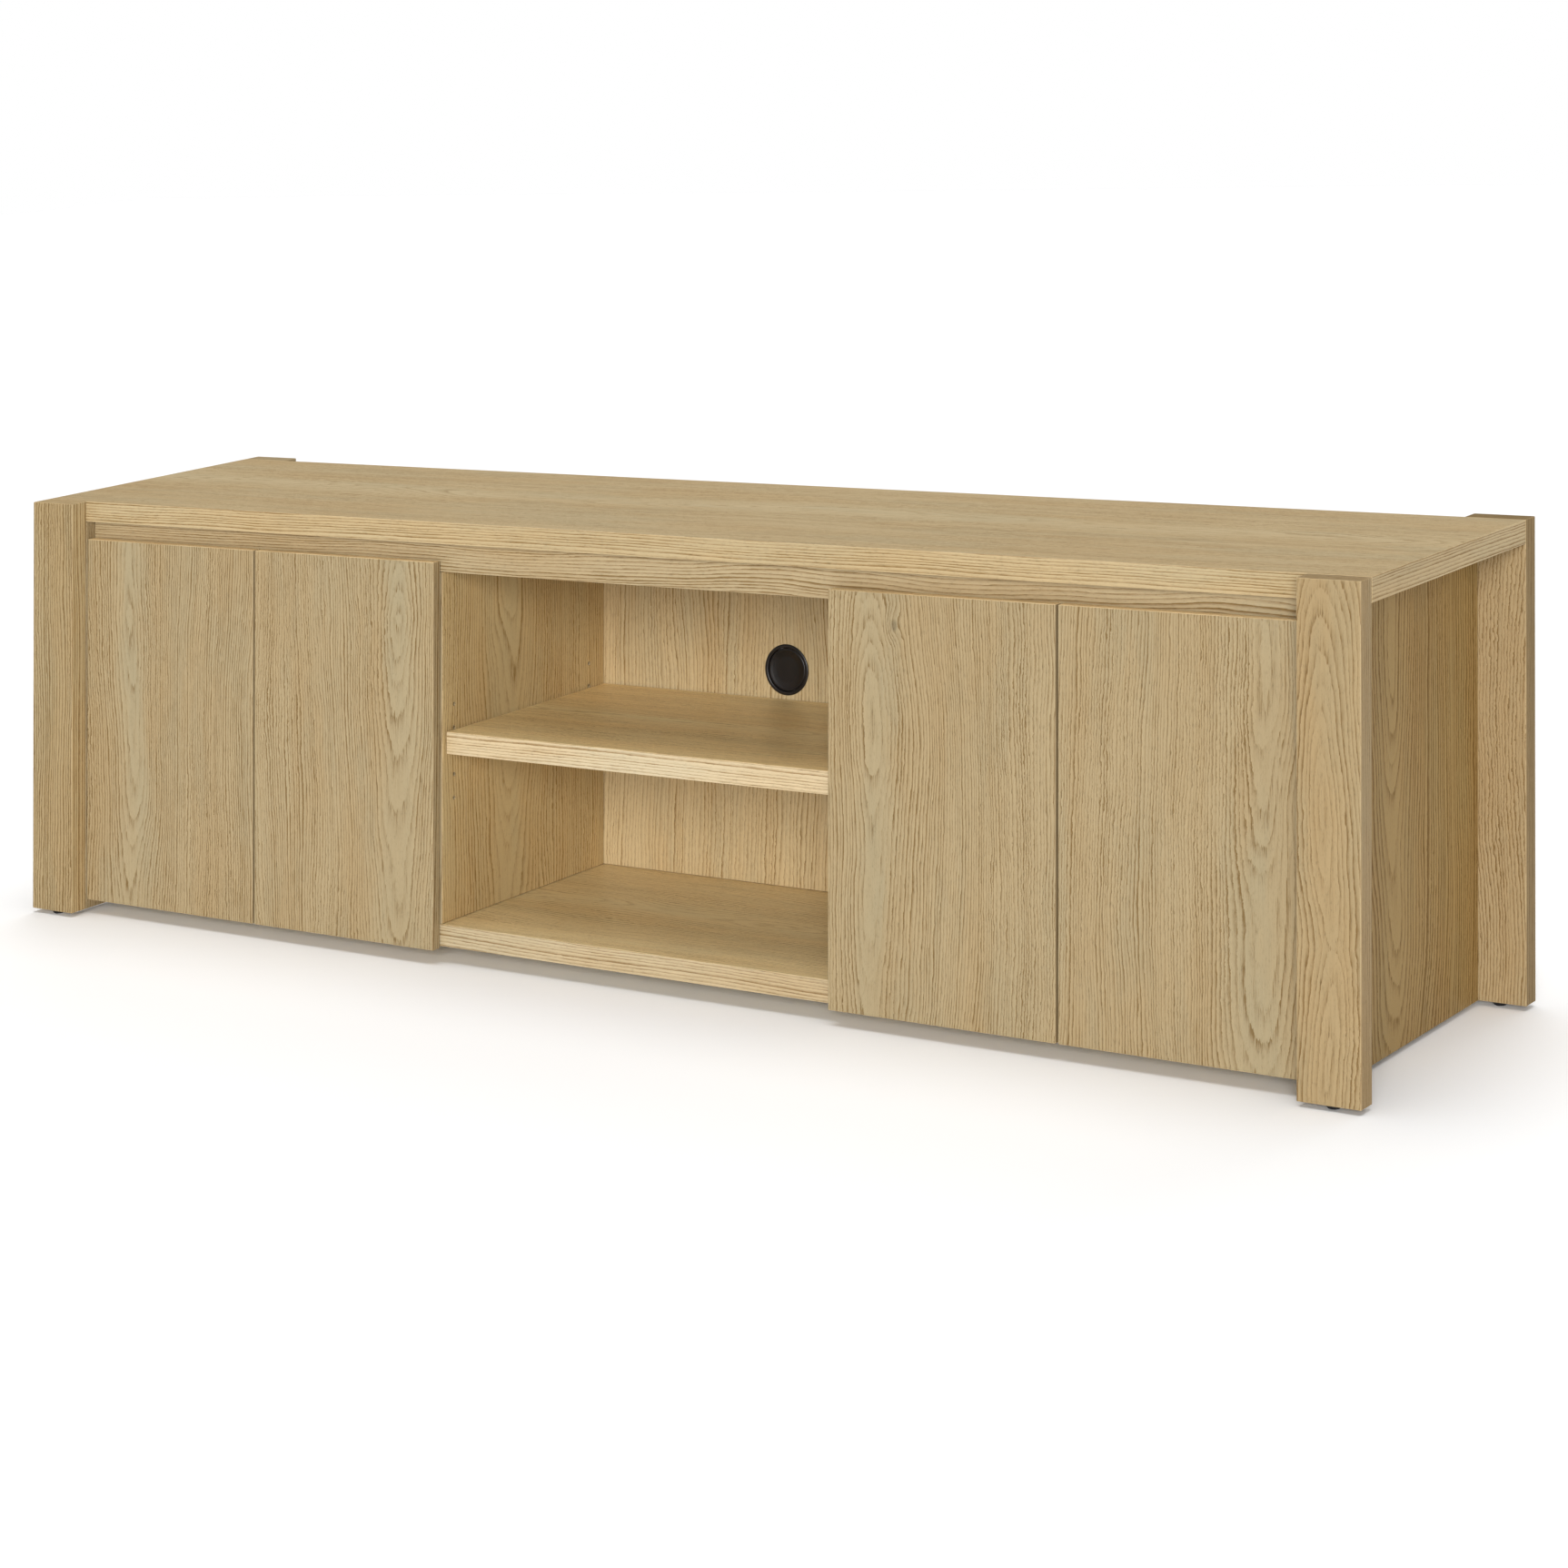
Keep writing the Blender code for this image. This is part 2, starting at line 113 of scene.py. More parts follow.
# Hardware. The distances follow the CAD pieces that the details stand for.
CLEARANCE = 0.0003     # left between pieces that touch
SHARP_ANGLE = 32       # degrees above which an edge is shaded sharp
FLANGE_LIFT = 0.0020   # how far the grommet's flange stands off the back panel
CAP_LIFT = 0.0006
SLEEVE_STEP = 0.0021   # the grommet sleeve's outside beyond the cap's edge
ARM_REACH = 0.0620
ARM_WIDTH = 0.0120
PLATE_MIDDLE = 0.0450  # the mounting plate's middle along the arm's reach
CUP_LIFT = 0.0009
CUP_RIM = 0.0030       # width of the cup's flange
CUP_WALL = 0.0010
PIN_HALF = 0.0078
STUB_LENGTH = 0.0063
SUPPORT_RISE = 0.0040
LEDGE_THICKNESS = 0.0022

# Studio
FLOOR_HALF = 12.0
SURROUND_LIGHT = 0.12  # what the white surround gives, while the camera sees it at 1


class Graph:
    """Short calls for building a shader's node tree."""

    def __init__(self, tree):
        self.tree = tree

    def add(self, kind, inputs=(), **settings):
        """A node with its settings and its inputs, each a number, a tuple or another node's socket."""
        node = self.tree.nodes.new("ShaderNode" + kind)
        for name, value in settings.items():
            setattr(node, name, value)
        for key, value in dict(inputs).items():
            self.feed(node.inputs[key], value)
        return node

    def feed(self, socket, value):
        if isinstance(value, bpy.types.NodeSocket):
            self.tree.links.new(value, socket)
        else:
            socket.default_value = value

    def math(self, operation, *values, clamp=False):
        inputs = dict(enumerate(values))
        return self.add("Math", inputs, operation=operation, use_clamp=clamp).outputs[0]

    def vector(self, x=0.0, y=0.0, z=0.0):
        return self.add("CombineXYZ", {0: x, 1: y, 2: z}).outputs[0]

    def stretch(self, vector, factors):
        return self.add("VectorMath", {0: vector, 1: factors}, operation="MULTIPLY").outputs[0]

    def noise(self, vector, factors, detail=2.0, roughness=0.5):
        """Smooth noise about zero, its frequency along each axis given in cycles per metre."""
        place = self.stretch(vector, factors)
        inputs = {"Vector": place, "Scale": 1.0, "Detail": detail, "Roughness": roughness}
        node = self.add("TexNoise", inputs, noise_dimensions="3D")
        return self.math("SUBTRACT", node.outputs[0], 0.5)

    def ramp(self, value, low, high):
        """0 at low and 1 at high, with soft ends."""
        inputs = {"Value": value, "From Min": low, "From Max": high}
        return self.add("MapRange", inputs, interpolation_type="SMOOTHSTEP").outputs[0]

    def mix(self, factor, first, second):
        """A number between two others."""
        node = self.add("Mix", {0: factor}, data_type="FLOAT")
        self.feed(node.inputs[2], first)
        self.feed(node.inputs[3], second)
        return node.outputs[0]

    def blend(self, factor, first, second, how="MIX"):
        node = self.add("Mix", {0: factor}, data_type="RGBA", blend_type=how)
        for place, value in ((6, first), (7, second)):
            self.feed(node.inputs[place], value if not isinstance(value, tuple) else (*value, 1.0))
        return node.outputs[2]


def veneer_group():
    """Flat-sawn oak as growth rings cut by the board's face.

    Across and Along are places on the face. Heart is where the tree's centre line passes behind the
    face, Depth how far behind at Turn, and Slope how fast that changes away from there. Spacing is the
    rings' own, Figure how much the centre line rises and falls, and Wander scales the lines' bends.
    Contrast scales the lines' strength, and Greyness how grey the flat zone over the heart is.
    """
    tree = bpy.data.node_groups.new("oak_veneer", "ShaderNodeTree")
    numbers = ("Across", "Along", "Seed", "Heart", "Depth", "Turn", "Slope", "Spacing",
               "Figure", "Contrast", "Greyness", "Wander", "Knot Across", "Knot Along")
    for name in numbers:
        tree.interface.new_socket(name, in_out="INPUT", socket_type="NodeSocketFloat")
    tree.interface.new_socket("Color", in_out="OUTPUT", socket_type="NodeSocketColor")
    tree.interface.new_socket("Roughness", in_out="OUTPUT", socket_type="NodeSocketFloat")
    tree.interface.new_socket("Height", in_out="OUTPUT", socket_type="NodeSocketFloat")
    g = Graph(tree)
    given = tree.nodes.new("NodeGroupInput").outputs
    place = g.vector(given["Across"], given["Along"], given["Seed"])

    # The lines' bends and raggedness
    sway = g.math("MULTIPLY", g.noise(place, (5.0, 2.2, 1.0), 1.0), SWAY)
    sway = g.math("MULTIPLY", sway, given["Wander"])
    wave = g.math("MULTIPLY", g.noise(place, (26.0, 9.0, 1.0), 3.0), WAVE)
    wave = g.math("MULTIPLY", wave, given["Wander"])
    rough_places = g.ramp(g.noise(place, (14.0, 2.5, 9.0), 1.0), -0.12, 0.14)
    ragged = g.math("MULTIPLY_ADD", rough_places, EXTRA_JAG, JAG)
    ragged = g.math("MULTIPLY", ragged, given["Wander"])
    jag = g.math("MULTIPLY", g.noise(place, (190.0, 110.0, 1.0), 3.0, 0.6), ragged)
    fibre = g.noise(place, (620.0, 22.0, 1.0), 2.0, 0.6)

    # The distance from each place to the tree's centre line
    across = g.math("ADD", given["Across"], g.math("ADD", sway, wave))
    off_heart = g.math("SUBTRACT", g.math("ADD", across, jag), given["Heart"])
    run = g.math("ABSOLUTE", g.math("SUBTRACT", given["Along"], given["Turn"]))
    swell = g.math("MULTIPLY", g.noise(place, (9.0, 3.4, 3.0), 1.5), given["Figure"])
    depth = g.math("ADD", g.math("MULTIPLY_ADD", run, given["Slope"], given["Depth"]), swell)
    squares = g.math("MULTIPLY_ADD", off_heart, off_heart, g.math("MULTIPLY", depth, depth))
    rings_out = g.math("SQRT", squares)

    # The zone over the heart, where the rings lie nearly flat in the face
    flatness = g.math("DIVIDE", g.math("ABSOLUTE", off_heart), g.math("ADD", rings_out, 0.002))
    flat_zone = g.math("SUBTRACT", 1.0, g.ramp(flatness, 0.25, 0.90))

    # One small knot, longer along the grain than across it
    knot_x = g.math("SUBTRACT", given["Across"], given["Knot Across"])
    knot_y = g.math("MULTIPLY", g.math("SUBTRACT", given["Along"], given["Knot Along"]), 0.6)
    knot_gap = g.math("SQRT", g.math("MULTIPLY_ADD", knot_x, knot_x, g.math("MULTIPLY", knot_y, knot_y)))
    knot_pull = g.math("SUBTRACT", 1.0, g.ramp(knot_gap, 0.001, 0.016))
    knot = g.math("SUBTRACT", 1.0, g.ramp(knot_gap, 0.0015, 0.0055))

    # Each ring draws one line, dark at its start and fading outwards, and broken up in the flat zone
    radius = g.math("MULTIPLY_ADD", fibre, FIBRE_PULL, rings_out)
    radius = g.math("MULTIPLY_ADD", knot_pull, KNOT_PULL, radius)
    rings = g.math("DIVIDE", radius, given["Spacing"])
    uneven = g.noise(g.vector(radius, given["Seed"]), (70.0, 1.0, 1.0), 1.0)
    rings = g.math("MULTIPLY_ADD", uneven, UNEVEN_RINGS, rings)
    step = g.math("FRACT", rings)
    fade = g.math("SUBTRACT", 1.0, step)
    comb = g.ramp(g.noise(place, (800.0, 40.0, 1.0), 2.0, 0.6), -0.05, 0.15)
    drawn = g.math("MULTIPLY", g.math("POWER", fade, 3.0), g.ramp(step, 0.0, 0.08))
    drawn = g.math("MULTIPLY", drawn, g.mix(flat_zone, 1.0, g.math("MULTIPLY_ADD", comb, 0.80, 0.16)))

    # The lines' strength, by ring, by band and by patch
    number = g.math("ADD", g.math("FLOOR", rings), given["Seed"])
    chance = g.add("TexWhiteNoise", {"W": number}, noise_dimensions="1D").outputs[0]
    strength = g.math("MULTIPLY_ADD", g.math("POWER", chance, 1.5), 0.95, 0.80)
    bands = g.ramp(g.noise(place, (34.0, 4.0, 7.0), 1.0), -0.16, 0.16)
    bands = g.math("MULTIPLY_ADD", bands, 0.45, 0.92)
    weight = g.math("MULTIPLY", g.math("MULTIPLY", strength, bands), given["Contrast"])
    patchy = g.math("MULTIPLY_ADD", g.noise(place, (220.0, 60.0, 1.0), 3.0, 0.6), 1.7, 1.0)
    line = g.math("MULTIPLY", g.math("MULTIPLY", drawn, weight), patchy, clamp=True)

    # Short open pores, most of them on the lines
    pore = g.ramp(g.noise(place, (900.0, 190.0, 1.0), 2.0, 0.6), 0.02, 0.20)
    pore = g.math("MULTIPLY", pore, g.math("MULTIPLY_ADD", drawn, 0.6, 0.4))

    # Colour: pale and warm patches, grey patches, lines, then the shade of fibres, pores and the knot
    warmth = g.ramp(g.noise(place, (16.0, 3.0, 1.0), 2.0), -0.13, 0.16)
    colour = g.blend(warmth, PALE_OAK, WARM_OAK)
    grey_patches = g.ramp(g.noise(place, (28.0, 5.0, 5.0), 2.0), -0.05, 0.18)
    grey_heart = g.math("MULTIPLY", flat_zone, given["Greyness"])
    grey = g.math("ADD", g.math("MULTIPLY", grey_patches, GREY_PATCHES), grey_heart, clamp=True)
    colour = g.blend(grey, colour, GREY_OAK)
    colour = g.blend(g.math("MULTIPLY", line, LINE_COVER), colour, LINE_OAK)
    streak = g.math("MULTIPLY_ADD", fibre, FIBRE_SHADE, 1.04)
    streak = g.math("MULTIPLY", streak, g.math("MULTIPLY_ADD", pore, PORE_SHADE - 1.0, 1.0))
    streak = g.math("MULTIPLY", streak, g.math("MULTIPLY_ADD", knot, KNOT_SHADE, 1.0))
    colour = g.blend(1.0, colour, g.vector(streak, streak, streak), "MULTIPLY")

    # Lines and pores are rougher and lower than the wood between them
    sunk = g.math("ADD", line, pore)
    results = tree.nodes.new("NodeGroupOutput").inputs
    g.feed(results["Color"], colour)
    g.feed(results["Roughness"], g.math("MULTIPLY_ADD", sunk, 0.10, 0.50))
    g.feed(results["Height"], g.math("MULTIPLY_ADD", fibre, 0.5, g.math("MULTIPLY", sunk, -0.6)))
    return tree


def new_material(name):
    material = bpy.data.materials.new(name)
    material.use_nodes = True
    shader = material.node_tree.nodes["Principled BSDF"]
    return material, Graph(material.node_tree), shader


def pick(g, masks, values):
    """The value for the side that faces X, Y or Z, by two masks."""
    if values[0] is values[1] is values[2]:
        return values[0]
    first = values[2] if values[1] is values[2] else g.mix(masks[1], values[2], values[1])
    return g.mix(masks[0], first, values[0])


def oak(veneer, node, grain, heart, seed, depth=0.014, turn=0.0, slope=0.03, spacing=0.0035,
        figure=0.050, contrast=1.0, greyness=0.5, wander=1.0, knot=NO_KNOT,
        tone=1.0, edge_tone=None, top_highlight=None, gloss=1.0):
    """Dresses a board in veneer. The grain runs along an axis on its two large faces.

    heart is a fraction of the board's width on those faces, turn a fraction of its length, and knot
    both. The tones multiply the wood's colour, as a number or by red, green and blue: tone on the
    large faces, edge_tone if given on the others, and top_highlight if given on edges that face up or
    down. The tones are partly the veneer's own and partly painted light and shade, and top_highlight is a
    painted highlight. A gloss below 1 lowers the roughness and raises the specular level. The rest is
    as in veneer_group.
    """
    low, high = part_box(node)
    spans = [b - a for a, b in zip(low, high)]
    large = spans.index(min(spans))
    material, g, shader = new_material(f"{node}_oak")
    coords = g.add("TexCoord").outputs
    place = g.add("SeparateXYZ", {0: coords["Object"]}).outputs
    facing = g.add("VectorMath", {0: coords["Normal"]}, operation="ABSOLUTE").outputs[0]
    nx, ny, nz = g.add("SeparateXYZ", {0: facing}).outputs
    masks = [g.math("GREATER_THAN", n, FLAT_SIDE) for n in (nx, ny)]

    along_axes, across_axes = [], []
    for normal in range(3):
        flat = [axis for axis in range(3) if axis != normal]
        along = AXES.index(grain)
        if along == normal:
            along = max(flat, key=lambda axis: spans[axis])
        along_axes.append(along)
        across_axes.append(next(axis for axis in flat if axis != along))
    across, along = across_axes[large], along_axes[large]
    hearts = [-FAR_HEART] * 3
    hearts[large] = low[across] + heart * spans[across]
    wanders = [EDGE_WANDER] * 3
    wanders[large] = wander

    group = g.add("Group", node_tree=veneer)
    g.feed(group.inputs["Along"], pick(g, masks, [place[axis] for axis in along_axes]))
    g.feed(group.inputs["Across"], pick(g, masks, [place[axis] for axis in across_axes]))
    g.feed(group.inputs["Heart"], pick(g, masks, hearts))
    g.feed(group.inputs["Seed"], pick(g, masks, [seed, seed + 3.3, seed + 7.1]))
    g.feed(group.inputs["Wander"], pick(g, masks, wanders))
    numbers = {
        "Depth": depth,
        "Turn": low[along] + turn * spans[along],
        "Slope": slope,
        "Spacing": spacing,
        "Figure": figure,
        "Contrast": contrast,
        "Greyness": greyness,
        "Knot Across": low[across] + knot[0] * spans[across],
        "Knot Along": low[along] + knot[1] * spans[along],
    }
    for name, value in numbers.items():
        group.inputs[name].default_value = value

    # Rounded edges are made paler: partly wear, partly a painted highlight.
    most = g.math("MAXIMUM", g.math("MAXIMUM", nx, ny), nz)
    edge = g.math("SUBTRACT", 1.0, g.ramp(most, 0.80, 0.985))
    tints = [tone if edge_tone is None else edge_tone] * 3
    # Painted highlight on the edges that face up and down, where top_highlight is given.
    if top_highlight is not None:
        tints[2] = top_highlight
    tints[large] = tone
    tints = [tint if isinstance(tint, tuple) else (tint, tint, tint) for tint in tints]
    tint = g.blend(masks[0], g.blend(masks[1], tints[2], tints[1]), tints[0])
    colour = g.blend(1.0, group.outputs["Color"], tint, "MULTIPLY")
    colour = g.blend(g.math("MULTIPLY", edge, EDGE_WEAR_AND_HIGHLIGHT), colour, EDGE_OAK)
    g.feed(shader.inputs["Base Color"], colour)
    g.feed(shader.inputs["Roughness"], g.math("MULTIPLY", group.outputs["Roughness"], gloss))
    height = group.outputs["Height"]
    bump = g.add("Bump", {"Strength": GRAIN_BUMP, "Distance": GRAIN_HEIGHT, "Height": height})
    g.feed(shader.inputs["Normal"], bump.outputs[0])
    shader.inputs["Specular IOR Level"].default_value = OAK_SPECULAR + (1.0 - gloss)
    NODES[node].data.materials.clear()
    NODES[node].data.materials.append(material)


def dress_boards():
    board = functools.partial(oak, veneer_group())
    door = functools.partial(board, grain="Z", figure=0.035, tone=FRONT_TONE, top_highlight=DOOR_TOP_PAINTED_HIGHLIGHT)
    door("left_outer_door", heart=0.25, seed=1.0, depth=0.018, turn=0.80, slope=0.07, contrast=1.25)
    door("left_inner_door", heart=0.78, seed=2.0, depth=0.020, turn=0.85, slope=0.07, contrast=1.12)
    door("right_inner_door", heart=0.20, seed=3.0, turn=0.60, slope=0.05, knot=(0.30, 0.925))
    door("right_outer_door", heart=0.84, seed=4.0, depth=0.020, turn=0.80, slope=0.06, figure=0.042,
         greyness=0.35)

    # The front posts' sides carry painted light and shade: the left post's inner side is lighter, and the
    # right post's side is darker and browner, as light falls on them.
    board("front_left_post", "Z", -3.0, 5.0, spacing=0.0045, contrast=1.6,
          tone=(0.61, 0.60, 0.57), edge_tone=(0.86, 0.85, 0.82))
    board("front_right_post", "Z", 0.52, 6.0, depth=0.016, turn=0.30, slope=-0.13, spacing=0.0040,
          figure=0.02, contrast=0.80, greyness=0.15,
          tone=(0.63, 0.60, 0.56), edge_tone=(0.585, 0.54, 0.475))
    board("rear_left_post", "Z", 3.0, 7.0, tone=FRONT_TONE)
    # Its edges are darker and browner than its faces: painted shade.
    board("rear_right_post", "Z", -3.0, 8.0, contrast=1.15,
          tone=(0.65, 0.62, 0.59), edge_tone=(0.44, 0.39, 0.29))

    board("top_panel", "X", 0.55, 9.0, depth=0.03, turn=0.5, greyness=0.2, tone=0.86, edge_tone=0.82)
    # The rail is lighter and greyer than the doors: painted light lifting the shade under the top panel,
    # tinted grey like that shade.
    board("top_rail", "X", 3.0, 10.0, contrast=1.3, wander=0.15, tone=(0.73, 0.74, 0.77))
    board("left_side_panel", "Z", 0.25, 11.0, tone=FRONT_TONE)
    # Darker and more saturated than the fronts: partly a darker veneer, partly painted shade with the
    # colour of light bounced between the boards.
    board("right_side_panel", "Z", 0.42, 12.0, turn=1.0, slope=0.10, spacing=0.0055, contrast=1.5,
          greyness=0.1, tone=(0.56, 0.48, 0.32))
    # The boards inside the bays (partitions, back, bottom and shelves) are lighter than the fronts:
    # painted light making up for the light that these lamps don't bring into the bays.
    board("left_partition", "Z", 0.40, 13.0, depth=0.02, turn=0.9, slope=0.06, spacing=0.0045,
          tone=(0.91, 0.87, 0.76), edge_tone=INNER_EDGE_TONE)
    board("right_partition", "Z", 0.60, 14.0, edge_tone=INNER_EDGE_TONE)
    board("back_panel", "Z", 0.2, 15.0, spacing=0.0050, contrast=0.8, tone=0.88)
    board("bottom_panel", "X", 0.5, 16.0, tone=(1.29, 1.36, 1.36), edge_tone=(0.86, 0.88, 0.94),
          gloss=SATIN)
    for seed, node in enumerate(("left_shelf", "centre_shelf", "right_shelf"), start=17):
        board(node, "X", 0.5, float(seed), tone=SHELF_PAINTED_LIGHT_TONE, edge_tone=SHELF_EDGE_TONE, gloss=SATIN)


def moulded_plastic():
    material, g, shader = new_material("moulded_plastic")
    place = g.add("TexCoord").outputs["Object"]
    grain = g.noise(place, (900.0, 900.0, 900.0), 2.0)
    clouds = g.noise(place, (45.0, 45.0, 45.0), 2.0)
    g.feed(shader.inputs["Base Color"], g.blend(g.ramp(clouds, -0.2, 0.2), BLACK_LOW, BLACK_HIGH))
    rough = g.math("MULTIPLY_ADD", clouds, 0.20, g.math("MULTIPLY_ADD", grain, 0.10, 0.40))
    g.feed(shader.inputs["Roughness"], rough)
    bump = g.add("Bump", {"Strength": 0.20, "Distance": 0.0001, "Height": grain})
    g.feed(shader.inputs["Normal"], bump.outputs[0])
    return material


def plated_steel():
    material, g, shader = new_material("plated_steel")
    place = g.add("TexCoord").outputs["Object"]
    brushed = g.noise(place, (900.0, 90.0, 900.0), 2.0)
    clouds = g.noise(place, (60.0, 60.0, 60.0), 3.0)
    g.feed(shader.inputs["Base Color"], g.blend(g.ramp(clouds, -0.2, 0.2), STEEL_LOW, STEEL_HIGH))
    rough = g.math("MULTIPLY_ADD", clouds, 0.16, g.math("MULTIPLY_ADD", brushed, 0.12, 0.30))
    g.feed(shader.inputs["Roughness"], rough)
    bump = g.add("Bump", {"Strength": 0.15, "Distance": 0.0001, "Height": brushed})
    g.feed(shader.inputs["Normal"], bump.outputs[0])
    shader.inputs["Metallic"].default_value = 1.0
    return material


def clear_rubber():
    material, g, shader = new_material("clear_rubber")
    place = g.add("TexCoord").outputs["Object"]
    clouds = g.noise(place, (500.0, 500.0, 500.0), 2.0)
    g.feed(shader.inputs["Base Color"], g.blend(g.ramp(clouds, -0.2, 0.2), RUBBER_LOW, RUBBER_HIGH))
    g.feed(shader.inputs["Roughness"], g.math("MULTIPLY_ADD", clouds, 0.2, 0.35))
    shader.inputs["Transmission Weight"].default_value = 0.35
    shader.inputs["IOR"].default_value = 1.42
    return material


def soften(points, radius, steps=3, closed=True):
    """The outline with each corner rounded, by at most 45% of the sides beside it."""
    points = [Vector(point) for point in points]
    soft = []
    for i, corner in enumerate(points):
        if not closed and i in (0, len(points) - 1):
            soft.append(corner)
            continue
        before, after = points[i - 1], points[(i + 1) % len(points)]
        start = corner + (before - corner) * min(0.45, radius / (before - corner).length)
        end = corner + (after - corner) * min(0.45, radius / (after - corner).length)
        for step in range(steps + 1):
            t = step / steps
            soft.append(start * (1 - t) ** 2 + corner * 2 * t * (1 - t) + end * t ** 2)
    return [tuple(point) for point in soft]


def lathe(profile, segments=96, closed=False):
    """A mesh turned about local Z from (radius, height) points."""
    work = bmesh.new()
    turns = [2 * math.pi * i / segments for i in range(segments)]
    rings = []
    for radius, height in profile:
        if radius > 0:
            spots = [(radius * math.cos(a), radius * math.sin(a), height) for a in turns]
        else:
            spots = [(0, 0, height)]
        rings.append([work.verts.new(spot) for spot in spots])
    for first, second in zip(rings, rings[1:] + (rings[:1] if closed else [])):
        for i in range(segments):
            corners = []
            for vert in (first[i % len(first)], first[(i + 1) % len(first)],
                         second[(i + 1) % len(second)], second[i % len(second)]):
                if vert not in corners:
                    corners.append(vert)
            if len(corners) > 2:
                work.faces.new(corners)
    bmesh.ops.recalc_face_normals(work, faces=work.faces)
    mesh = bpy.data.meshes.new("turned")
    work.to_mesh(mesh)
    work.free()
    return mesh


def pressed(outlines, thickness, bevel=0.0002):
    """A mesh of flat outlines in local XY, holes included, with rounded edges, centred on local Z."""
    data = bpy.data.curves.new("outline", "CURVE")
    data.dimensions = "2D"
    data.fill_mode = "BOTH"
    data.extrude = thickness / 2 - bevel
    data.bevel_depth = bevel
    data.bevel_resolution = 1
    data.offset = -bevel
    for outline in outlines:
        spline = data.splines.new("POLY")
        spline.points.add(len(outline) - 1)
        for point, spot in zip(spline.points, outline):
            point.co = (*spot, 0.0, 1.0)
        spline.use_cyclic_u = True
    curve = bpy.data.objects.new("outline", data)
    SCENE.collection.objects.link(curve)
    bpy.context.view_layer.update()
    evaluated = curve.evaluated_get(bpy.context.evaluated_depsgraph_get())
    mesh = bpy.data.meshes.new_from_object(evaluated)
    bpy.data.objects.remove(curve, do_unlink=True)
    work = bmesh.new()
    work.from_mesh(mesh)
    bmesh.ops.remove_doubles(work, verts=work.verts, dist=1e-6)
    bmesh.ops.recalc_face_normals(work, faces=work.faces)
    work.to_mesh(mesh)
    work.free()
    return mesh


def circle(radius, sides=40):
    turns = [2 * math.pi * i / sides for i in range(sides)]
    return [(radius * math.cos(a), radius * math.sin(a)) for a in turns]


def screw_head(radius, height):
    """(mesh, lift) pairs of a cross-recess head whose underside is at local Z = 0."""
    arm, half = radius * 0.62, radius * 0.14
    cross = [(arm, half), (half, half), (half, arm), (-half, arm), (-half, half), (-arm, half),
             (-arm, -half), (-half, -half), (-half, -arm), (half, -arm), (half, -half), (arm, -half)]
    rim = pressed([circle(radius), cross], height, height * 0.25)
    floor = pressed([circle(radius * 0.85)], height * 0.4, height * 0.05)
    return [(rim, height / 2), (floor, height * 0.21)]


def axes(x, y, z, origin):
    """The matrix that takes local axes to these world directions, from this origin."""
    return Matrix.Translation(origin) @ Matrix((x, y, z)).transposed().to_4x4()


class Piece:
    """Gathers placed meshes into one object that stands for a CAD node."""

    def __init__(self, node, body, slot, material):
        self.node, self.body, self.slot, self.material = node, body, slot, material
        self.work = bmesh.new()

    def add(self, mesh, matrix):
        copy = mesh.copy()
        copy.transform(matrix)
        if matrix.determinant() < 0:
            copy.flip_normals()
        self.work.from_mesh(copy)
        bpy.data.meshes.remove(copy)

    def add_screw(self, radius, height, matrix):
        for mesh, lift in screw_head(radius, height):
            self.add(mesh, matrix @ Matrix.Translation((0, 0, lift)))

    def finish(self):
        mesh = bpy.data.meshes.new(f"{self.node}_detail")
        self.work.to_mesh(mesh)
        self.work.free()
        mesh.shade_smooth()
        mesh.set_sharp_from_angle(angle=math.radians(SHARP_ANGLE))
        mesh.materials.append(self.material)
        obj = bpy.data.objects.new(f"{self.node}_detail", mesh)
        SCENE.collection.objects.link(obj)
        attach(obj, self.body)
        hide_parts(self.node)


def middle_of(node):
    low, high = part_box(node)
    return Vector([(a + b) / 2 for a, b in zip(low, high)])


def make_grommet(plastic):
    low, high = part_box("cable_grommet")
    origin = middle_of("cable_grommet")
    origin.y = low[1] + FLANGE_LIFT
    outer = (high[0] - low[0]) / 2
    end = origin.y - high[1]
    cap_low, cap_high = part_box("grommet_cap")
    cap = (cap_high[0] - cap_low[0]) / 2
    sleeve = cap + SLEEVE_STEP
    bore = cap + CLEARANCE
    turn = axes(X, Z, -Y, origin)

    ring = [(outer, CLEARANCE), (outer, 0.0013), (outer - 0.0010, FLANGE_LIFT),
            (bore + 0.0010, FLANGE_LIFT), (bore, 0.0013), (bore, end), (sleeve - 0.0006, end),
            (sleeve, end + 0.0012), (sleeve, CLEARANCE)]
    piece = Piece("cable_grommet", "cabinet", "black_plastic", plastic)
    piece.add(lathe(soften(ring, 0.0005), 128, closed=True), turn)
    piece.finish()

    skirt = origin.y - cap_high[1]
    inside = cap - 0.0012
    floor = -0.0026
    dish = [(0.0, -0.0012), (cap * 0.60, -0.0011), (cap * 0.66, -0.0009), (cap * 0.80, -0.0003),
            (cap * 0.91, CAP_LIFT), (cap - 0.0007, CAP_LIFT - 0.0001), (cap, -0.0003), (cap, skirt),
            (inside, skirt), (inside, floor), (0.0, floor)]
    piece = Piece("grommet_cap", "grommet_cap_body", "black_plastic", plastic)
    piece.add(lathe(soften(dish, 0.0005, closed=False), 128), turn)
    half = 0.0005
    rib = pressed([[(-inside, -half), (inside, -half), (inside, half), (-inside, half)]], 0.0016, 0.0002)
    under_floor = Matrix.Translation((0, 0, floor - 0.0005))
    for angle in (0, 60, 120):
        piece.add(rib, turn @ Matrix.Rotation(math.radians(angle), 4, "Z") @ under_floor)
    piece.finish()


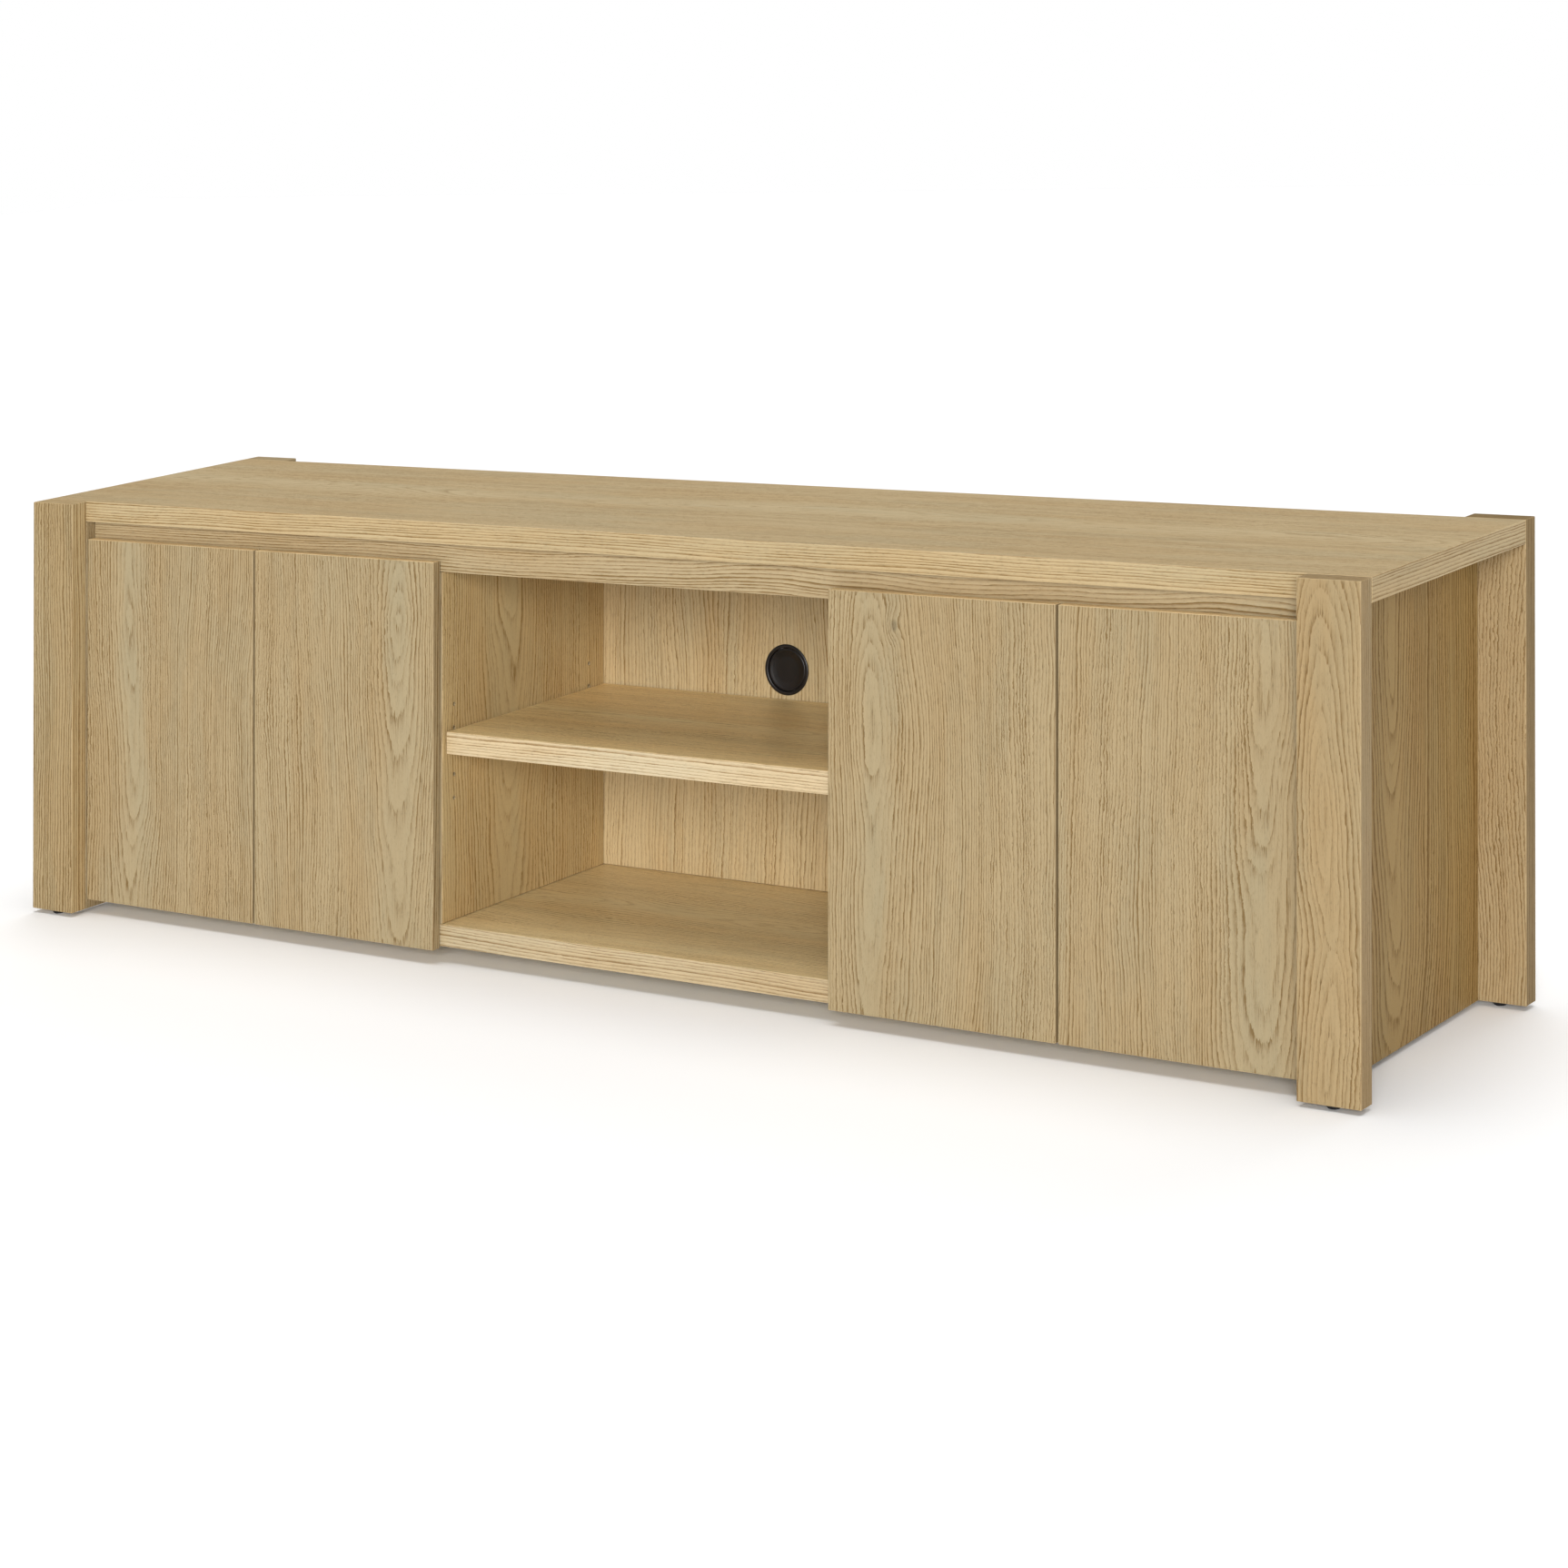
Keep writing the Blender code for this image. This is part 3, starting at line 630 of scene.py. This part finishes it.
def make_glide(node, plastic):
    low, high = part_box(node)
    origin = middle_of(node)
    origin.z = low[2]
    radius = (high[0] - low[0]) / 2
    tall = high[2] - low[2]
    foot = [(0.0, 0.0009), (0.0026, 0.0009), (0.0030, 0.0), (radius - 0.0022, 0.0),
            (radius - 0.0006, 0.0016), (radius - 0.0004, tall - 0.0016), (radius, tall - 0.0012),
            (radius, tall), (0.0, tall)]
    piece = Piece(node, "cabinet", "black_plastic", plastic)
    piece.add(lathe(soften(foot, 0.0005, closed=False), 64), Matrix.Translation(origin))
    piece.add_screw(0.0024, 0.0007, axes(X, -Y, -Z, origin + Z * 0.0010))
    piece.finish()


def make_bumper(node, rubber):
    low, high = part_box(node)
    origin = middle_of(node)
    origin.y = high[1]
    radius, tall = (high[0] - low[0]) / 2, high[1] - low[1]
    dome = [(0.0, 0.0), (radius, 0.0), (radius, tall * 0.25), (radius * 0.92, tall * 0.60),
            (radius * 0.70, tall * 0.87), (radius * 0.35, tall), (0.0, tall)]
    piece = Piece(node, "cabinet", "clear_rubber", rubber)
    piece.add(lathe(soften(dome, 0.0003, closed=False), 48), axes(X, Z, -Y, origin))
    piece.finish()


def make_hinge_cup(door, node, facing, steel):
    """The pressed cup in the door, with its link and two pins. It opens towards +Y."""
    low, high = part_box(node)
    origin = middle_of(node)
    origin.y = high[1] - CUP_LIFT
    flange = (high[0] - low[0]) / 2
    cup = flange - CUP_RIM
    bore = cup - CUP_WALL
    bottom = low[1] - origin.y
    floor = bottom + CUP_WALL
    turn = axes(X * facing, -Z * facing, Y, origin)
    profile = [(0.0, floor), (bore, floor), (bore, CUP_LIFT), (flange, CUP_LIFT), (flange, CLEARANCE),
               (cup, CLEARANCE), (cup, bottom), (0.0, bottom)]
    piece = Piece(node, f"{door}_leaf", "nickel_steel", steel)
    piece.add(lathe(soften(profile, 0.0006, closed=False), 96), turn)

    link = [(-0.0108, 0.0), (-0.0108, -0.0022), (-0.0060, -0.0058), (0.0050, -0.0070),
            (0.0062, -0.0052), (0.0052, -0.0040), (-0.0042, -0.0036), (-0.0086, 0.0)]
    piece.add(pressed([soften(link, 0.0010)], 0.0084, 0.0004), axes(X * facing, Y, Z, origin))
    rod = [(0.0, -PIN_HALF), (0.0012, -PIN_HALF), (0.0012, PIN_HALF), (0.0, PIN_HALF)]
    pin = lathe(soften(rod, 0.0004, closed=False), 24)
    for x, y in ((-0.0078, -0.0022), (0.0044, -0.0054)):
        piece.add(pin, axes(X, -Y, -Z, origin + X * facing * x + Y * y))
    button = [(0.0, 0.0), (0.0013, 0.0), (0.0011, 0.0004), (0.0, 0.0005)]
    rivet = lathe(soften(button, 0.0003, closed=False), 24)
    for side in (-1, 1):
        spot = origin + Z * side * (flange - 0.0016) + Y * (CUP_LIFT - 0.0003)
        piece.add(rivet, axes(X, -Z, Y, spot))
    piece.finish()


def make_hinge_arm(node, facing, steel):
    """The channel arm on its screwed plate. Local X runs out from the wall and local Y to the back."""
    low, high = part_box(node)
    origin = middle_of(node)
    origin.x = low[0] - CLEARANCE if facing > 0 else high[0] + CLEARANCE
    origin.y = high[1] - ARM_REACH
    turn = axes(X * facing, Y, Z, origin)
    under = [(0.0080, ARM_REACH), (0.0040, ARM_REACH), (0.0040, 0.0130), (0.0068, 0.0085),
             (0.0068, 0.0012)]
    over = [(0.0270, 0.0012), (0.0296, 0.0030), (0.0296, 0.0060), (0.0180, 0.0075),
            (0.0130, 0.0180), (0.0110, 0.0400), (0.0088, 0.0600)]
    floor = [(x - 0.0013, y) for x, y in over]
    cheek = pressed([soften(under + over, 0.0012)], 0.0013, 0.0002)
    web = pressed([soften(under + floor, 0.0012)], ARM_WIDTH - 0.0020, 0.0002)
    piece = Piece(node, "cabinet", "nickel_steel", steel)
    piece.add(web, turn)
    for side in (-1, 1):
        piece.add(cheek, turn @ Matrix.Translation((0, 0, side * (ARM_WIDTH / 2 - 0.0007))))

    tall = (high[2] - low[2]) / 2
    wide, narrow, shoulder, neck = 0.0085, 0.0055, 0.0090, 0.0125
    plate = [(-wide, -shoulder), (-narrow, -neck), (-narrow, -tall), (narrow, -tall),
             (narrow, -neck), (wide, -shoulder), (wide, shoulder), (narrow, neck),
             (narrow, tall), (-narrow, tall), (-narrow, neck), (-wide, shoulder)]
    face = axes(Y, Z * facing, X * facing, origin + Y * PLATE_MIDDLE)
    mount = pressed([soften(plate, 0.0045, 5)], 0.0032, 0.0005)
    piece.add(mount, face @ Matrix.Translation((0, 0, 0.0020)))
    for side in (-1, 1):
        piece.add_screw(0.0036, 0.0013, face @ Matrix.Translation((0, side * (tall - 0.0058), 0.0034)))
    for y, lift in ((0.0520, 0.0074), (0.0300, 0.0098)):
        piece.add_screw(0.0031, 0.0016, face @ Matrix.Translation((y - PLATE_MIDDLE, 0, lift)))
    piece.finish()


def make_support(node, steel):
    """A shelf support: a stub in the pin hole, an upright plate and the ledge that the shelf lies on."""
    low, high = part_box(node)
    shelf = "_".join(node.split("_")[:2])
    facing = 1 if node.split("_")[2] == "left" else -1
    origin = middle_of(node)
    origin.x = low[0] + STUB_LENGTH if facing > 0 else high[0] - STUB_LENGTH
    origin.z = high[2] - SUPPORT_RISE
    shelf_low, shelf_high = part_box(shelf)
    gap = abs((shelf_low[0] if facing > 0 else shelf_high[0]) - origin.x)
    reach = high[0] - low[0] - STUB_LENGTH
    bottom = low[2] - origin.z
    ledge, face = bottom + LEDGE_THICKNESS, gap - CLEARANCE
    outline = [(CLEARANCE, bottom), (reach, bottom), (reach, ledge), (face, ledge),
               (face, SUPPORT_RISE), (CLEARANCE, SUPPORT_RISE)]
    piece = Piece(node, "cabinet", "nickel_steel", steel)
    bracket = pressed([outline], high[1] - low[1], 0.0002)
    piece.add(bracket, axes(X * facing, Z, -Y * facing, origin))
    thick, groove = 0.0022, 0.0020
    stub = [(0.0, 0.0006), (thick, 0.0006), (thick, -0.0018), (groove, -0.0021), (groove, -0.0026),
            (thick, -0.0029), (thick, -0.0052), (0.0015, -STUB_LENGTH), (0.0, -STUB_LENGTH)]
    pin = lathe(soften(stub, 0.0003, closed=False), 32)
    piece.add(pin, axes(Y, Z * facing, X * facing, origin))
    piece.finish()


def dress_hardware():
    plastic, steel, rubber = moulded_plastic(), plated_steel(), clear_rubber()
    make_grommet(plastic)
    doors = [f"{side}_{which}_door" for side in ("left", "right") for which in ("outer", "inner")]
    for door in doors:
        facing = 1 if middle_of(door).x > middle_of(f"{door}_lower_hinge_cup").x else -1
        for level in ("lower", "upper"):
            make_hinge_cup(door, f"{door}_{level}_hinge_cup", facing, steel)
            make_hinge_arm(f"{door}_{level}_hinge_arm", facing, steel)
        make_bumper(f"{door}_bumper", rubber)
    for node in sorted(NODES):
        if node.endswith("_glide"):
            make_glide(node, plastic)
        elif node.endswith("_support"):
            make_support(node, steel)


def direction(heading, elevation):
    """A unit vector, by degrees from +X towards +Y and degrees up."""
    h, e = math.radians(heading), math.radians(elevation)
    return Vector((math.cos(h) * math.cos(e), math.sin(h) * math.cos(e), math.sin(e)))


def make_camera():
    """The photograph's camera. Its picture was straightened so that uprights stay parallel.

    That leaves the picture's own axes a little off square, and the holder's inverse carries them.
    """
    right = Vector((0.78187609, 0.62098066, -0.05525219))
    up = Vector((0.00415221, -0.00702921, 0.99996667))
    forward = Vector((-0.53239152, 0.81928257, -0.21292099))
    place = Vector((2.43589, -3.60849, 1.14270))
    data = bpy.data.cameras.new("photo_camera")
    data.sensor_width = 36.0
    data.lens = 88.62
    camera = bpy.data.objects.new("photo_camera", data)
    holder = bpy.data.objects.new("camera_holder", None)
    for obj in (camera, holder):
        SCENE.collection.objects.link(obj)
    columns = Matrix((right, up, -forward)).transposed().to_4x4()
    camera.parent = holder
    camera.matrix_parent_inverse = Matrix.Translation(place) @ columns
    SCENE.camera = camera


def sun(name, heading, elevation, strength, angle, glossy=True):
    data = bpy.data.lights.new(name, "SUN")
    data.energy = strength
    data.angle = math.radians(angle)
    lamp = bpy.data.objects.new(name, data)
    lamp.rotation_euler = direction(heading, elevation).to_track_quat("Z", "Y").to_euler()
    lamp.visible_glossy = glossy
    SCENE.collection.objects.link(lamp)


def make_studio():
    """A pale floor, three broad soft lights and an even white surround."""
    mesh = bpy.data.meshes.new("studio_floor")
    corners = [(x * FLOOR_HALF, y * FLOOR_HALF, 0) for x, y in ((-1, -1), (1, -1), (1, 1), (-1, 1))]
    mesh.from_pydata(corners, [], [(0, 1, 2, 3)])
    floor = bpy.data.objects.new("studio_floor", mesh)
    SCENE.collection.objects.link(floor)
    material, _, shader = new_material("pale_floor")
    shader.inputs["Base Color"].default_value = (0.92, 0.92, 0.92, 1.0)
    shader.inputs["Roughness"].default_value = 0.9
    shader.inputs["Specular IOR Level"].default_value = 0.0
    mesh.materials.append(material)

    sun("front_light", -64.0, 14.0, 2.98, 25.0)
    sun("overhead_light", -90.0, 88.0, 2.1, 50.0)
    sun("rear_light", 110.0, 35.0, 0.94, 60.0, glossy=False)
    world = bpy.data.worlds.new("studio")
    world.use_nodes = True
    g = Graph(world.node_tree)
    seen = g.add("LightPath").outputs["Is Camera Ray"]
    background = world.node_tree.nodes["Background"]
    background.inputs["Color"].default_value = (1.0, 1.0, 1.0, 1.0)
    g.feed(background.inputs["Strength"], g.mix(seen, SURROUND_LIGHT, 1.0))
    SCENE.world = world
    SCENE.view_settings.view_transform = "Standard"


make_camera()
make_studio()
dress_boards()
dress_hardware()
